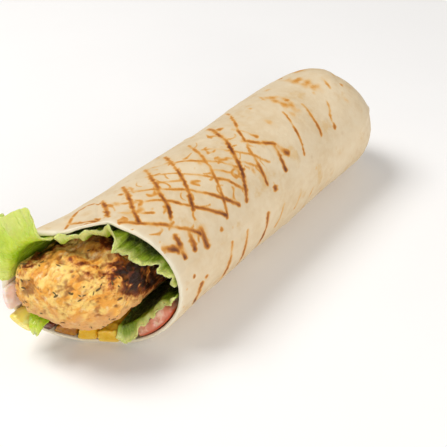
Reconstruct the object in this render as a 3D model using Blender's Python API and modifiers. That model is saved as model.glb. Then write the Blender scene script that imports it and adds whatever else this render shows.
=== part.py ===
"""A grilled flatbread wrap filled with a chicken fillet, lettuce, tomato and yellow pepper.

The roll lies along X and rests on a narrow flat strip at z = 0. Its open end faces -X and is cut
on a slant, so that the rim runs further back on the -Y side. Its far end is rounded and closed.
Inside the script the roll's own axes are used, with x = 0 near the middle of the slanting rim and
y = 0 on the roll's middle line. At the end every piece is moved so that the origin lies under the
middle of the whole thing.

Angles go around the roll: 0 at +Y, 90 degrees at the top, 180 degrees at -Y, 270 at the bottom.
"""
import math

import bmesh
import bpy
import numpy as np

MM = 0.001

# Rolled bread
HALF_WIDTH = 30.0 * MM
HALF_HEIGHT = 28.8 * MM
SETTLE = 1.2 * MM
FAR_SCALE = 0.968
SHOULDER_X = 172.0 * MM
DOME_DEPTH = 31.0 * MM
DOME_POWER = 0.8
TIP_HEIGHT = 15.0 * MM
WALL = 1.4 * MM
FLAP_THICKNESS = 1.5 * MM
FLAP_SPAN = 95.0
LIP_FLARE = 2.2 * MM
LIP_FLARE_ANGLE = 42.0
LIP_TUCK = 2.6 * MM
LIP_TUCK_ANGLE = 66.0
WAVE = 0.5 * MM
COLUMNS = 60
OUTER_RINGS = 15
DOME_RINGS = 8
RIM_RINGS = 3
INNER_RINGS = 9

# Chicken fillet
CHICKEN_FRONT_X = -15.5 * MM
CHICKEN_BACK_X = 166.0 * MM
CHICKEN_CENTRE_Y = 4.2 * MM
CHICKEN_CENTRE_Z = 32.0 * MM
CHICKEN_HALF_WIDTH = 21.8 * MM
CHICKEN_HALF_HEIGHT = 12.2 * MM
CHICKEN_LUMP = 0.9 * MM
CHICKEN_END = 10.0 * MM
CHICKEN_COLUMNS = 34
CHICKEN_END_RINGS = 6
CHICKEN_BODY_RINGS = 12

# Leaves
# Margin of the upper leaf: angle in degrees, mm ahead of the rim, mm under the roof, mm curled up
MARGIN = [
    (62.0, 1.6, 1.6, 2.4), (65.0, 3.0, 2.0, 1.8), (69.0, 3.0, 2.0, 1.6), (72.0, 1.6, 1.6, 2.0),
    (76.0, 1.5, 1.3, 2.3), (79.0, 1.6, 1.9, 3.6), (82.0, 1.5, 1.9, 2.6), (88.0, 1.5, 1.6, 2.8),
    (93.0, 1.7, 2.2, 3.6), (95.5, 2.8, 2.6, 2.6), (99.0, 3.4, 5.0, 0.6), (104.0, 1.8, 7.2, 0.0),
    (109.0, 6.4, 8.4, 0.0), (113.0, 5.0, 8.0, 0.0), (123.0, 5.0, 8.0, 0.0), (130.0, 6.6, 7.2, 0.0),
    (138.0, 7.0, 5.8, 0.0), (144.0, 3.4, 5.0, 0.0), (147.0, 1.8, 3.8, 0.0), (153.0, 3.8, 3.8, 0.0),
    (158.0, 3.2, 2.2, 0.0), (163.0, 0.8, 1.4, 0.0), (168.0, 2.2, 1.4, 0.0), (172.0, 1.0, 1.2, 0.0)]
LEAF_THICKNESS = 0.9 * MM
LEAF_DEPTH = 8.4 * MM
GAP = 0.5 * MM


def smooth(t):
    """Rises from 0 to 1 over t = 0 to 1 with level ends: 3 t^2 - 2 t^3."""
    t = np.clip(t, 0.0, 1.0)
    return t * t * (3.0 - 2.0 * t)


def powered(value, power):
    """The power of the size of a value, with its sign kept."""
    return np.sign(value) * np.abs(value) ** power


def bump(angle, centre, width):
    """A bell of height 1 round an angle in degrees, exp(-(difference / width)^2)."""
    difference = (angle - centre + 180.0) % 360.0 - 180.0
    return np.exp(-(difference / width) ** 2)


def rim_x(angle):
    """Where the slanting rim lies along X at each angle: a shifted cosine with small harmonics.

    Over the top and the -Y side it is cut back a little more, with a quick step near 90 degrees.
    """
    a = np.radians(angle)
    slant = 6.5 - 16.6 * np.cos(a) + 1.2 * np.sin(a) - 2.3 * np.cos(2 * a) + 0.5 * np.sin(2 * a)
    round_roll = angle % 360.0
    cut = 1.6 * smooth((round_roll - 80.0) / 16.0) * smooth((225.0 - round_roll) / 30.0)
    return (slant + cut + 1.9 * bump(angle, 94.0, 8.0)) * MM


def seam_angle(x):
    """The outer flap's edge winds slowly down the back of the roll towards the far end."""
    return -15.0 - 25.0 * np.clip(x / SHOULDER_X, 0.0, 1.1)


def flap_height(x, angle):
    """Full just inside the flap's edge, then fading away upwards where the sheet runs on."""
    beyond = (angle - seam_angle(x) + 0.2) % 360.0
    return FLAP_THICKNESS * smooth(beyond / 1.2) * (1.0 - smooth((beyond - 35.0) / (FLAP_SPAN - 35.0)))


def waves(x, angle):
    """Slow dents and swellings of the soft roll."""
    a = np.radians(angle)
    return WAVE * (0.6 * np.sin(2 * a + 38.0 * x + 0.6) + 0.4 * np.sin(3 * a - 61.0 * x + 2.0)
                   + 0.35 * np.sin(a + 95.0 * x))


def flare(x, angle):
    """The lip opens outwards on its far side and is tucked in beside the top, fading from the rim."""
    back = np.maximum(x - rim_x(angle), 0.0) / (12.0 * MM)
    open_out = LIP_FLARE * bump(angle, LIP_FLARE_ANGLE, 26.0)
    tuck = LIP_TUCK * bump(angle, LIP_TUCK_ANGLE, 13.0)
    return (open_out - tuck) * np.exp(-back ** 2)


def section(x, angle, depth, size=1.0, drop=0.0):
    """A point of the roll's cross-section at x.

    The section is an ellipse whose half axes are the roll's less the depth, scaled by size about a
    centre that is lowered by drop. What would lie under the flat strip is lifted onto it.
    """
    a = np.radians(angle)
    scale = 1.0 + (FAR_SCALE - 1.0) * np.clip(x / SHOULDER_X, 0.0, 1.0)
    extra = waves(x, angle) + flare(x, angle) - depth
    half_width = (HALF_WIDTH * scale + extra) * size
    half_height = (HALF_HEIGHT * scale + extra) * size
    centre = HALF_HEIGHT * scale - SETTLE - drop
    y = half_width * np.cos(a)
    z = np.maximum(centre + half_height * np.sin(a), depth)
    return np.stack([x + 0.0 * y, y, z], axis=-1)


def dome(turn, angle, depth):
    """The closed end: size falls as cos(turn)^0.8 while x runs on as sin(turn).

    The middle of the section sinks towards the tip, because the end is tucked under.
    """
    reach = DOME_DEPTH - depth
    size = np.maximum(np.cos(turn), 0.0) ** DOME_POWER
    sink = (HALF_HEIGHT * FAR_SCALE - SETTLE - TIP_HEIGHT) * (1.0 - size)
    x = SHOULDER_X + reach * np.sin(turn)
    return section(x, angle, depth, size, sink)


def wall_point(x, angle, depth):
    """A point inside the roll, at a depth measured from the inner face of the bread."""
    return section(x, angle, WALL + depth)


def make_material(name, colour, roughness):
    material = bpy.data.materials.new(name)
    material.use_nodes = True
    shader = material.node_tree.nodes["Principled BSDF"]
    shader.inputs["Base Color"].default_value = (*colour, 1.0)
    shader.inputs["Roughness"].default_value = roughness
    shader.inputs["Metallic"].default_value = 0.0
    material.diffuse_color = (*colour, 1.0)
    return material


def make_object(name, bm, material):
    """Puts a finished bmesh into a named object of the wrap's collection."""
    bmesh.ops.recalc_face_normals(bm, faces=bm.faces)
    mesh = bpy.data.meshes.new(name)
    bm.to_mesh(mesh)
    bm.free()
    mesh.materials.append(material)
    mesh.shade_smooth()
    thing = bpy.data.objects.new(name, mesh)
    wrap.objects.link(thing)
    return thing


def move_vertices(bm, points):
    for vertex, point in zip(bm.verts, points):
        vertex.co = point


def sphere_coordinates(bm, columns, rings):
    """Column and ring numbers of a UV sphere's vertices; ring 0 is the pole at +Z."""
    co = np.array([vertex.co for vertex in bm.verts])
    column = np.round(np.arctan2(co[:, 1], co[:, 0]) / (2 * math.pi) * columns) % columns
    ring = np.round(np.arccos(np.clip(co[:, 2], -1.0, 1.0)) / math.pi * rings)
    return column.astype(int), ring.astype(int)


def make_bread(material):
    """A sphere turned into a long cup: its rings run down the outside, round the rim and back inside."""
    rings = DOME_RINGS + OUTER_RINGS + RIM_RINGS + INNER_RINGS + DOME_RINGS // 2
    bm = bmesh.new()
    bmesh.ops.create_uvsphere(bm, u_segments=COLUMNS, v_segments=rings, radius=1.0)
    column, ring = sphere_coordinates(bm, COLUMNS, rings)

    # Two columns stand close together at the flap's edge, the rest are spread evenly.
    offset = np.where(column == 0, 0.0, 1.2 + (column - 1) * (360.0 - 1.2) / (COLUMNS - 1))

    shoulder_ring = DOME_RINGS
    rim_ring = shoulder_ring + OUTER_RINGS
    lip_ring = rim_ring + RIM_RINGS
    bottom_ring = lip_ring + INNER_RINGS

    outer_turn = (1.0 - ring / shoulder_ring) * math.pi / 2
    outer_part = (rim_ring - ring) / OUTER_RINGS
    rim_part = (ring - rim_ring) / RIM_RINGS
    inner_part = (ring - lip_ring) / INNER_RINGS
    inner_turn = (ring - bottom_ring) / (rings - bottom_ring) * math.pi / 2

    angle = seam_angle(SHOULDER_X) + offset
    for _ in range(3):
        rim = rim_x(angle)
        x = np.where(ring < rim_ring, rim + (SHOULDER_X - rim) * np.clip(outer_part, 0, 1), rim)
        x = np.where(ring > lip_ring, rim + (SHOULDER_X - rim) * np.clip(inner_part, 0, 1), x)
        angle = seam_angle(x) + offset

    # The rim is half round: the edge bulges towards the mouth by half the wall.
    rim = rim_x(angle)
    thick = flap_height(x, angle)
    outer = section(np.where(ring < rim_ring, x, rim), angle, -thick)
    inner = section(np.where(ring > lip_ring, x, rim), angle, WALL)
    across = np.clip(rim_part, 0.0, 1.0)
    lip = section(rim, angle, -thick + (WALL + thick) * across)
    lip[:, 0] -= 0.5 * WALL * np.sin(math.pi * across)

    tip_flap = thick * np.maximum(np.cos(np.clip(outer_turn, 0, math.pi / 2)), 0.0) ** 0.5
    outer_dome = dome(np.clip(outer_turn, 0, math.pi / 2), angle, -tip_flap)
    outer_dome[:, 0] = SHOULDER_X + DOME_DEPTH * np.sin(np.clip(outer_turn, 0, math.pi / 2))
    inner_dome = dome(np.clip(inner_turn, 0, math.pi / 2), angle, WALL)

    points = np.where((ring < shoulder_ring)[:, None], outer_dome, outer)
    points = np.where(((ring > rim_ring) & (ring < lip_ring))[:, None], lip, points)
    points = np.where((ring >= lip_ring)[:, None], inner, points)
    points = np.where((ring > bottom_ring)[:, None], inner_dome, points)
    move_vertices(bm, points)
    return make_object("tortilla", bm, material)


def make_chicken(material):
    """A sphere drawn out into a thick flattened slab with lumps, its poles at the two blunt ends.

    Along the slab the first and last rings follow a quarter turn each, which rounds the ends. Each
    ring is a superellipse, and the front corner on the -Y side is cut back.
    """
    rings = 2 * CHICKEN_END_RINGS + CHICKEN_BODY_RINGS
    bm = bmesh.new()
    bmesh.ops.create_uvsphere(bm, u_segments=CHICKEN_COLUMNS, v_segments=rings, radius=1.0)
    column, ring = sphere_coordinates(bm, CHICKEN_COLUMNS, rings)
    a = column / CHICKEN_COLUMNS * 2 * math.pi

    front_turn = np.clip(ring / CHICKEN_END_RINGS, 0.0, 1.0) * math.pi / 2
    back_turn = np.clip((rings - ring) / CHICKEN_END_RINGS, 0.0, 1.0) * math.pi / 2
    body = np.clip((ring - CHICKEN_END_RINGS) / CHICKEN_BODY_RINGS, 0.0, 1.0)
    body_start = CHICKEN_FRONT_X + CHICKEN_END
    body_end = CHICKEN_BACK_X - CHICKEN_END
    x = (body_start + (body_end - body_start) * body ** 1.25
         - CHICKEN_END * np.cos(front_turn) + CHICKEN_END * np.cos(back_turn))
    size = (np.sin(front_turn) * np.sin(back_turn)) ** 0.55

    lump = CHICKEN_LUMP * (np.sin(3 * a + 210 * x + 0.5) * np.cos(2 * a - 160 * x)
                           + 0.6 * np.sin(5 * a + 330 * x + 1.3)) * size
    narrow = 1.0 - 0.09 * smooth((x - CHICKEN_FRONT_X) / (70.0 * MM))
    half_width = CHICKEN_HALF_WIDTH * narrow - 0.4 * CHICKEN_LUMP + 0.4 * lump
    half_height = CHICKEN_HALF_HEIGHT - CHICKEN_LUMP + lump
    y = half_width * size * powered(np.cos(a), 0.66)
    droop = np.where(np.sin(a) < 0.0, 0.12 * smooth((6.0 * MM - y) / (20.0 * MM)), 0.0)
    z = half_height * size * powered(np.sin(a), 0.60) * (1.0 + droop)
    cut_back = 7.0 * MM * smooth((-y - 4.0 * MM) / (17.0 * MM)) - 0.08 * y
    x = x + cut_back * (1.0 - smooth((x - CHICKEN_FRONT_X) / (45.0 * MM)))
    centre_y = CHICKEN_CENTRE_Y * (1.0 - smooth(x / CHICKEN_BACK_X))
    points = np.stack([x, centre_y + y, CHICKEN_CENTRE_Z + z], axis=-1)
    move_vertices(bm, points)
    return make_object("chicken", bm, material)


def make_leaf(name, surface, across, along, material):
    """A grid laid onto surface(u, v), split into triangles and given the leaf's thickness."""
    bm = bmesh.new()
    bmesh.ops.create_grid(bm, x_segments=across, y_segments=along, size=0.5)
    co = np.array([vertex.co for vertex in bm.verts])
    move_vertices(bm, surface(co[:, 0] + 0.5, co[:, 1] + 0.5))
    bmesh.ops.triangulate(bm, faces=bm.faces)
    leaf = make_object(name, bm, material)
    thickness = leaf.modifiers.new("Leaf thickness", "SOLIDIFY")
    thickness.thickness = LEAF_THICKNESS
    thickness.offset = 0.0
    thickness.use_rim = True
    return leaf


def upper_leaf(u, v):
    """Lines the roof and the right wall, and comes out of the mouth as a wavy margin.

    MARGIN gives for some angles how far the margin stands ahead of the rim, how deep it hangs
    under the roof, and how much deeper the leaf lies just behind it where the margin curls up.
    """
    angle = 62.0 + 110.0 * u
    at, ahead, hang, curl = np.array(MARGIN).T
    front = rim_x(angle) - np.interp(angle, at, ahead) * MM
    x = front + (150.0 * MM - front) * (1.0 - v) ** 2.1
    behind = (x - front) / MM
    roof = 2.7 + (np.interp(angle, at, hang) - 2.7) * smooth(1.0 - (behind - 3.0) / 26.0)
    roof = roof + np.interp(angle, at, curl) * smooth(behind / 1.8) * smooth(1.0 - (behind - 4.0) / 22.0)
    trough = 1.3 * bump(angle, 138.0, 12.0) * smooth(behind / 4.0) * smooth(1.0 - (behind - 5.0) / 14.0)
    near = smooth(1.0 - behind / 16.0) * smooth((angle - 66.0) / 12.0)
    ruffle = np.sin(np.radians(27.8 * (angle - 75.0)) + 0.4) * (0.15 + 0.35 * near)
    fold = (8.0 * bump(angle, 99.0, 4.0) + 2.6 * bump(angle, 67.0, 3.5)) * smooth(1.0 - behind / 1.6)
    return wall_point(x, angle, (roof + trough + ruffle - fold) * MM)


def left_leaf(u, v):
    """Comes out along the left wall, then bends outwards over the lip into a wide ruffled blade.

    The distance s is measured along the leaf from the rim. After the rim the leaf follows an arc
    of bend_radius until it stands at full_turn, and then runs straight on.
    """
    angle = 10.0 + 49.5 * u
    reach = 5.0 + 13.5 * smooth((angle - 10.0) / 22.0) - 1.5 * smooth((angle - 36.0) / 14.0)
    reach = (reach + (5.0 - reach) * smooth((angle - 53.0) / 6.0)) * MM
    s = -30.0 * MM + (30.0 * MM + reach) * v
    bend_radius = 4.5 * MM
    full_turn = math.radians(86.0)
    past = np.maximum(s, 0.0)
    turn = np.minimum(past / bend_radius, full_turn)
    straight = np.maximum(past - bend_radius * full_turn, 0.0)
    forward = bend_radius * np.sin(turn) + straight * math.cos(full_turn)
    outward = bend_radius * (1.0 - np.cos(turn)) + straight * math.sin(full_turn)
    rim = rim_x(angle)
    base = wall_point(rim + np.maximum(-s, 0.0), angle, GAP + 0.65 * MM)
    a = np.radians(angle)
    direction = np.stack([0 * a, np.cos(a) * 0.75, np.sin(a) + 0.35], axis=-1)
    direction /= np.linalg.norm(direction, axis=-1, keepdims=True)
    points = base + direction * outward[:, None]
    points[:, 0] -= forward
    amount = 2.3 * MM * smooth((s - 2.5 * MM) / (9.0 * MM))
    wave = amount * (np.sin(2 * math.pi * 3.6 * u + 0.9) + 0.35 * np.sin(2 * math.pi * 8.0 * u))
    normal = direction * np.cos(turn)[:, None]
    normal[:, 0] += np.sin(turn)
    return points + normal * wave[:, None]


def lower_leaf(u, v):
    """Bridges the tomato on the right, from the right wall towards the bottom of the roll.

    Inside the mouth it lies deep under the fillet. In front of the tomato its margin droops
    towards the lip, furthest in a lobe at the lower left and a small one at the right wall.
    """
    angle = 182.0 + 71.0 * u
    lead = (2.6 + 0.8 * np.sin(2 * math.pi * 3.2 * u) + 2.4 * bump(angle, 244.0, 10.0)) * MM
    rim = rim_x(angle)
    front = rim - lead
    x = front + (110.0 * MM - front) * (1.0 - v) ** 1.8
    inside = 1.2 * MM + LEAF_DEPTH * smooth((angle - 182.0) / 19.0)
    slope = 1.9 * MM * smooth((rim + 10.0 * MM - x) / (11.0 * MM)) * smooth((angle - 182.0) / 19.0)
    edge = (5.6 - 4.6 * bump(angle, 244.0, 9.0) - 4.4 * bump(angle, 184.0, 11.0)) * MM
    margin = smooth((rim - 1.0 * MM - x) / (lead - 1.0 * MM))
    depth = inside - slope
    depth = depth + (edge - depth) * margin
    ruffle = 0.5 * MM * margin * np.sin(2 * math.pi * 6.0 * u + 0.8)
    return wall_point(x, angle, depth + ruffle)


def front_leaf(u, v):
    """A small pointed tip that comes out under the fillet and hangs down in front of the rim."""
    across = (u - 0.5) * 2.0
    half = (5.2 * np.maximum(1.0 - v, 0.0) ** 0.7 + 0.7) * MM
    x = (-3.0 - 13.2 * np.sin(math.pi / 2 * v)) * MM
    y = (16.6 - 4.2 * v) * MM + across * half
    z = (18.3 - 3.2 * smooth((v - 0.42) / 0.58)) * MM - 0.8 * MM * across ** 2 * v
    z = z + 2.0 * MM * np.maximum(across, 0.0) ** 2 * (1.0 - v)
    return np.stack([x, y, z], axis=-1)


def make_block(name, angles, depths, lead, back_x, material, cuts=(2, 1, 1), rounding=1.1 * MM):
    """A soft-edged piece that hugs the wall, between two angles and two depths.

    It is a cube whose three directions become x, angle and depth. Its front follows the rim and
    stands out of the mouth by lead, and its back end lies at back_x.
    """
    bm = bmesh.new()
    bmesh.ops.create_cube(bm, size=1.0)
    for axis, count in enumerate(cuts):
        edges = [e for e in bm.edges if abs(e.verts[0].co[axis] - e.verts[1].co[axis]) > 0.01]
        bmesh.ops.subdivide_edges(bm, edges=edges, cuts=count, use_grid_fill=True)
    co = np.array([vertex.co for vertex in bm.verts]) + 0.5
    angle = angles[0] + (angles[1] - angles[0]) * co[:, 1]
    depth = (depths[0] + (depths[1] - depths[0]) * co[:, 2]) * MM
    front = rim_x(angle) - lead * MM
    x = front + (back_x * MM - front) * co[:, 0]
    move_vertices(bm, wall_point(x, angle, depth))
    block = make_object(name, bm, material)
    soft = block.modifiers.new("Soft edges", "BEVEL")
    soft.width = rounding
    soft.segments = 2
    soft.limit_method = "ANGLE"
    soft.angle_limit = math.radians(40)
    return block


def centre_on_origin(things):
    """Moves all pieces together so that the origin is under the middle of their common box."""
    bpy.context.view_layer.update()
    graph = bpy.context.evaluated_depsgraph_get()
    corners = []
    for thing in things:
        mesh = thing.evaluated_get(graph).data
        co = np.empty(len(mesh.vertices) * 3, dtype=np.float32)
        mesh.vertices.foreach_get("co", co)
        corners.append(co.reshape(-1, 3))
    points = np.concatenate(corners)
    low, high = points.min(axis=0), points.max(axis=0)
    for thing in things:
        thing.location = (-(low[0] + high[0]) / 2, -(low[1] + high[1]) / 2, -low[2])


for old in list(bpy.data.objects):
    bpy.data.objects.remove(old, do_unlink=True)

wrap = bpy.data.collections.new("chicken_kebab_wrap")
bpy.context.scene.collection.children.link(wrap)

bread = make_material("grilled bread", (0.73, 0.56, 0.37), 0.7)
meat = make_material("grilled chicken", (0.72, 0.41, 0.15), 0.5)
light_leaf = make_material("light lettuce", (0.40, 0.55, 0.16), 0.45)
green_leaf = make_material("green lettuce", (0.28, 0.42, 0.06), 0.45)
tomato = make_material("tomato flesh", (0.72, 0.30, 0.20), 0.35)
pepper = make_material("yellow pepper", (0.83, 0.58, 0.09), 0.3)

make_bread(bread)
make_chicken(meat)
make_leaf("lettuce_upper", upper_leaf, 38, 10, green_leaf)
make_leaf("lettuce_left", left_leaf, 24, 12, light_leaf)
make_leaf("lettuce_lower", lower_leaf, 20, 9, green_leaf)
make_leaf("lettuce_front", front_leaf, 6, 6, light_leaf)
make_block("tomato_right", (199.0, 242.0), (GAP / MM, 6.0), 1.0, 62.0, tomato,
           cuts=(4, 5, 1), rounding=1.6 * MM)
make_block("tomato_left", (-17.0, 5.0), (GAP / MM, 2.4), 3.6, 36.0, tomato,
           cuts=(3, 2, 1), rounding=0.7 * MM)
make_block("tomato_middle", (-52.5, -44.8), (GAP / MM, 5.6), 0.6, 34.0, tomato)
make_block("pepper_left", (-43.2, -21.0), (GAP / MM, 4.5), 5.4, 22.0, pepper)
make_block("pepper_shaded", (-71.0, -54.5), (GAP / MM, 5.4), 0.4, 30.0, pepper)
make_block("pepper_middle", (-87.3, -73.2), (GAP / MM, 6.3), 1.4, 26.0, pepper)
make_block("pepper_right", (-105.0, -89.8), (GAP / MM, 6.0), 2.8, 24.0, pepper)

centre_on_origin(list(wrap.objects))
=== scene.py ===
# %% [markdown]
# # A grilled chicken wrap
#
# A flatbread is rolled round a grilled chicken fillet, lettuce, tomato and yellow pepper, and then
# toasted on a ridged grill. It lies on its side. One end is closed, the other is open on a slant.
#
# The solids of the wrap come from a model that was made first. This file dresses them: every piece
# is a surface worked out with numpy, laid exactly where its solid is, with a material of its own.

# %% The frame
import math

import bmesh
import bpy
import numpy as np
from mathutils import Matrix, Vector


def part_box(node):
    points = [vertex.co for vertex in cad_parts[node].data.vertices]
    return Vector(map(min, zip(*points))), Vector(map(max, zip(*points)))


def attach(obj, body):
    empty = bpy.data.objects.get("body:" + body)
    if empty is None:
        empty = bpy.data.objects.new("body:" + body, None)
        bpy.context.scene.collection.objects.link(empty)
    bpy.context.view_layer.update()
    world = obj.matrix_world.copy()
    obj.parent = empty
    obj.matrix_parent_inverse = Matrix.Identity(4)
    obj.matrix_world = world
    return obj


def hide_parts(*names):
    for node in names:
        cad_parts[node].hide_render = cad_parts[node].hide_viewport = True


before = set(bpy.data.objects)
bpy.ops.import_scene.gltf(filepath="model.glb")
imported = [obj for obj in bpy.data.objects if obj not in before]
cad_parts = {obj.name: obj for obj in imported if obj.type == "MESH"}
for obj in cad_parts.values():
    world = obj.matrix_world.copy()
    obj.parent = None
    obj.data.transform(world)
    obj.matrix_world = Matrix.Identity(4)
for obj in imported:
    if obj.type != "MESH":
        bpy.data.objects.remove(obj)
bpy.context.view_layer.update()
MM = 0.001

# %% [markdown]
# ## Small helpers
#
# Soft steps and bells shape nearly everything on food, because nothing on it has a hard edge.
# `ripple` is a cheap stand-in for random relief: a sum of sine waves that run in random directions.
# Its seed is fixed, so the wrap looks the same each time.

# %% Steps, bells and ripples
def smooth(t):
    """Rises from 0 to 1 over t = 0 to 1 with level ends: 3 t^2 - 2 t^3."""
    t = np.clip(t, 0.0, 1.0)
    return t * t * (3.0 - 2.0 * t)


def bell(value, centre, width):
    """A bell of height 1: exp(-((value - centre) / width)^2)."""
    return np.exp(-((value - centre) / width) ** 2)


def powered(value, power):
    """The power of the size of a value, with its sign kept."""
    return np.sign(value) * np.abs(value) ** power


def ripple(points, size, seed, count=22):
    """A sum of sine waves with wavelengths near size, in random directions, mostly within -1..1."""
    random = np.random.default_rng(seed)
    total = np.zeros(points.shape[:-1])
    for _ in range(count):
        direction = random.normal(size=3)
        direction *= 2 * math.pi / (size * random.uniform(0.75, 1.35) * np.linalg.norm(direction))
        total += np.sin(points @ direction + random.uniform(0, 2 * math.pi))
    return total / math.sqrt(count / 2) * 0.6


print("a smooth step half way is", float(smooth(0.5)))

# %% [markdown]
# ## From a grid of points to a mesh
#
# Each surface is a table of points, rows by columns. `build` turns it into a mesh in one go. A
# surface that closes round itself joins its last column to its first, and a surface with a pole
# ends in a fan of triangles. A second table can go with the points, and becomes the UV map: it
# tells the material where on the piece it is.

# %% Building a surface
def normals_of(points, around):
    """Unit normals of a grid: the cross product of its differences along rows and columns."""
    if around:
        across = np.roll(points, -1, axis=1) - np.roll(points, 1, axis=1)
    else:
        across = np.gradient(points, axis=1)
    down = np.gradient(points, axis=0)
    normal = np.cross(down, across)
    return normal / np.maximum(np.linalg.norm(normal, axis=-1, keepdims=True), 1e-12)


def new_object(name, data):
    """An object of the scene, made from a mesh, a lamp or a camera."""
    thing = bpy.data.objects.new(name, data)
    bpy.context.scene.collection.objects.link(thing)
    return thing


def build(name, points, table, around=False, poles=(False, False)):
    """Makes a mesh object from a grid of points and a grid of UV values with one more column.

    A pole's row is a ring of no size: it becomes one vertex and a fan of triangles.
    """
    rows, columns = points.shape[:2]
    flat = points.reshape(-1, 3)
    first_row = 1 if poles[0] else 0
    last_row = rows - 2 if poles[1] else rows - 1
    column = np.arange(columns if around else columns - 1)
    row = np.arange(first_row, last_row)[:, None]
    right = (column + 1) % columns
    quads = np.stack([row * columns + column, row * columns + right,
                      (row + 1) * columns + right, (row + 1) * columns + column], axis=-1).reshape(-1, 4)
    wide = table.shape[1]
    quad_uv = np.stack([row * wide + column, row * wide + column + 1,
                        (row + 1) * wide + column + 1, (row + 1) * wide + column], axis=-1).reshape(-1, 4)
    faces = quads.tolist()
    corners = [quad_uv.reshape(-1)]
    for there, ring_row, turn in ((poles[0], 0, 1), (poles[1], rows - 1, -1)):
        if not there:
            continue
        next_row = ring_row + turn
        fan = np.stack([0 * column + ring_row * columns, next_row * columns + right,
                        next_row * columns + column], axis=-1)[:, ::turn]
        fan_uv = np.stack([ring_row * wide + column, next_row * wide + column + 1,
                           next_row * wide + column], axis=-1)[:, ::turn]
        faces += fan.tolist()
        corners.append(fan_uv.reshape(-1))
    mesh = bpy.data.meshes.new(name)
    mesh.from_pydata(flat.tolist(), [], faces)
    layer = mesh.uv_layers.new(name="sheet")
    layer.data.foreach_set("uv", table.reshape(-1, 2)[np.concatenate(corners)].astype(np.float32).ravel())
    mesh.shade_smooth()
    return new_object(name, mesh)


def round_table(rows, columns, first=0.02, last=0.98):
    """UV values of a piece that closes round itself: its rows run from first to last."""
    return np.stack(np.broadcast_arrays(np.linspace(0.02, 0.98, columns + 1)[None, :],
                                        np.linspace(first, last, rows)[:, None]), axis=-1)


def tidy_mesh(thing):
    """Drops the unused points of pole rows and turns the faces outwards."""
    bm = bmesh.new()
    bm.from_mesh(thing.data)
    bmesh.ops.delete(bm, geom=[v for v in bm.verts if not v.link_faces], context="VERTS")
    bmesh.ops.recalc_face_normals(bm, faces=bm.faces)
    bm.to_mesh(thing.data)
    bm.free()


def set_attribute(thing, name, values):
    """Stores one number for each vertex, for the material to read."""
    attribute = thing.data.attributes.new(name, "FLOAT", "POINT")
    attribute.data.foreach_set("value", values.astype(np.float32).ravel())


def finish_piece(thing, material, node):
    """Gives a piece its material, lets it stand for its solid and rides it on the wrap's one body."""
    thing.data.materials.append(material)
    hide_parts(node)
    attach(thing, "root")
    print(thing.name, len(thing.data.vertices), "vertices")


print("builders ready")

# %% [markdown]
# ## The shape of the roll
#
# The bread is a tube with an oval section, slightly slimmer at its far end. It has settled onto a
# narrow flat strip. The rim is a slanting cut, so its place along the roll is a wave of the angle
# round the roll: 0 degrees is the far side, 90 the top, 180 the near side and 270 the bottom.

# %% Section, rim and seam
HALF_WIDTH = 30.0 * MM
HALF_HEIGHT = 28.8 * MM
SETTLE = 1.2 * MM
FAR_SCALE = 0.968
SHOULDER_X = 172.0 * MM
DOME_DEPTH = 31.0 * MM
DOME_POWER = 0.8
TIP_HEIGHT = 15.0 * MM
WALL = 1.4 * MM
FLAP_THICKNESS = 1.5 * MM
FLAP_SPAN = 95.0
LIP_FLARE = 2.2 * MM
LIP_TUCK = 2.6 * MM
WAVE = 0.5 * MM


def turned(angle, centre, width):
    """A bell round an angle in degrees that doesn't mind full turns."""
    return bell((angle - centre + 180.0) % 360.0 - 180.0, 0.0, width)


def rim_x(angle):
    """Where the slanting rim lies along the roll: a shifted cosine, cut back over top and near side."""
    a = np.radians(angle)
    slant = 6.5 - 16.6 * np.cos(a) + 1.2 * np.sin(a) - 2.3 * np.cos(2 * a) + 0.5 * np.sin(2 * a)
    round_roll = angle % 360.0
    cut = 1.6 * smooth((round_roll - 80.0) / 16.0) * smooth((225.0 - round_roll) / 30.0)
    return (slant + cut + 1.9 * turned(angle, 94.0, 8.0)) * MM


def seam_angle(x):
    """The outer flap's edge winds slowly down the back of the roll."""
    return -15.0 - 25.0 * np.clip(x / SHOULDER_X, 0.0, 1.1)


def flap_height(offset):
    """Full just inside the flap's edge, then fading away upwards where the sheet runs on."""
    beyond = offset + 0.2
    return FLAP_THICKNESS * smooth(beyond / 1.2) * (1.0 - smooth((beyond - 35.0) / (FLAP_SPAN - 35.0)))


def section(x, angle, depth, size=1.0, drop=0.0):
    """An ellipse whose half axes are the roll's less the depth, scaled by size about its centre.

    Slow waves dent it, the lip opens on the far side and is tucked in beside the top, and the
    bottom is lifted level.
    """
    a = np.radians(angle)
    scale = 1.0 + (FAR_SCALE - 1.0) * np.clip(x / SHOULDER_X, 0.0, 1.0)
    waves = WAVE * (0.6 * np.sin(2 * a + 38.0 * x + 0.6) + 0.4 * np.sin(3 * a - 61.0 * x + 2.0)
                    + 0.35 * np.sin(a + 95.0 * x))
    back = np.maximum(x - rim_x(angle), 0.0) / (12.0 * MM)
    lip = LIP_FLARE * turned(angle, 42.0, 26.0) - LIP_TUCK * turned(angle, 66.0, 13.0)
    extra = waves + lip * np.exp(-back ** 2) - depth
    centre = HALF_HEIGHT * scale - SETTLE - drop
    y = (HALF_WIDTH * scale + extra) * size * np.cos(a)
    z = np.maximum(centre + (HALF_HEIGHT * scale + extra) * size * np.sin(a), depth)
    return np.stack([x + 0.0 * y, y, z], axis=-1)


def dome(turn, angle, depth):
    """The closed end: the section shrinks as cos(turn)^0.8 while x runs on as sin(turn)."""
    size = np.maximum(np.cos(turn), 0.0) ** DOME_POWER
    sink = (HALF_HEIGHT * FAR_SCALE - SETTLE - TIP_HEIGHT) * (1.0 - size)
    x = SHOULDER_X + (DOME_DEPTH - np.maximum(depth, 0.0)) * np.sin(turn)
    return section(x, angle, depth, size, sink)


print("rim from", round(float(rim_x(0.0) / MM), 1), "to", round(float(rim_x(180.0) / MM), 1), "mm")

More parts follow.
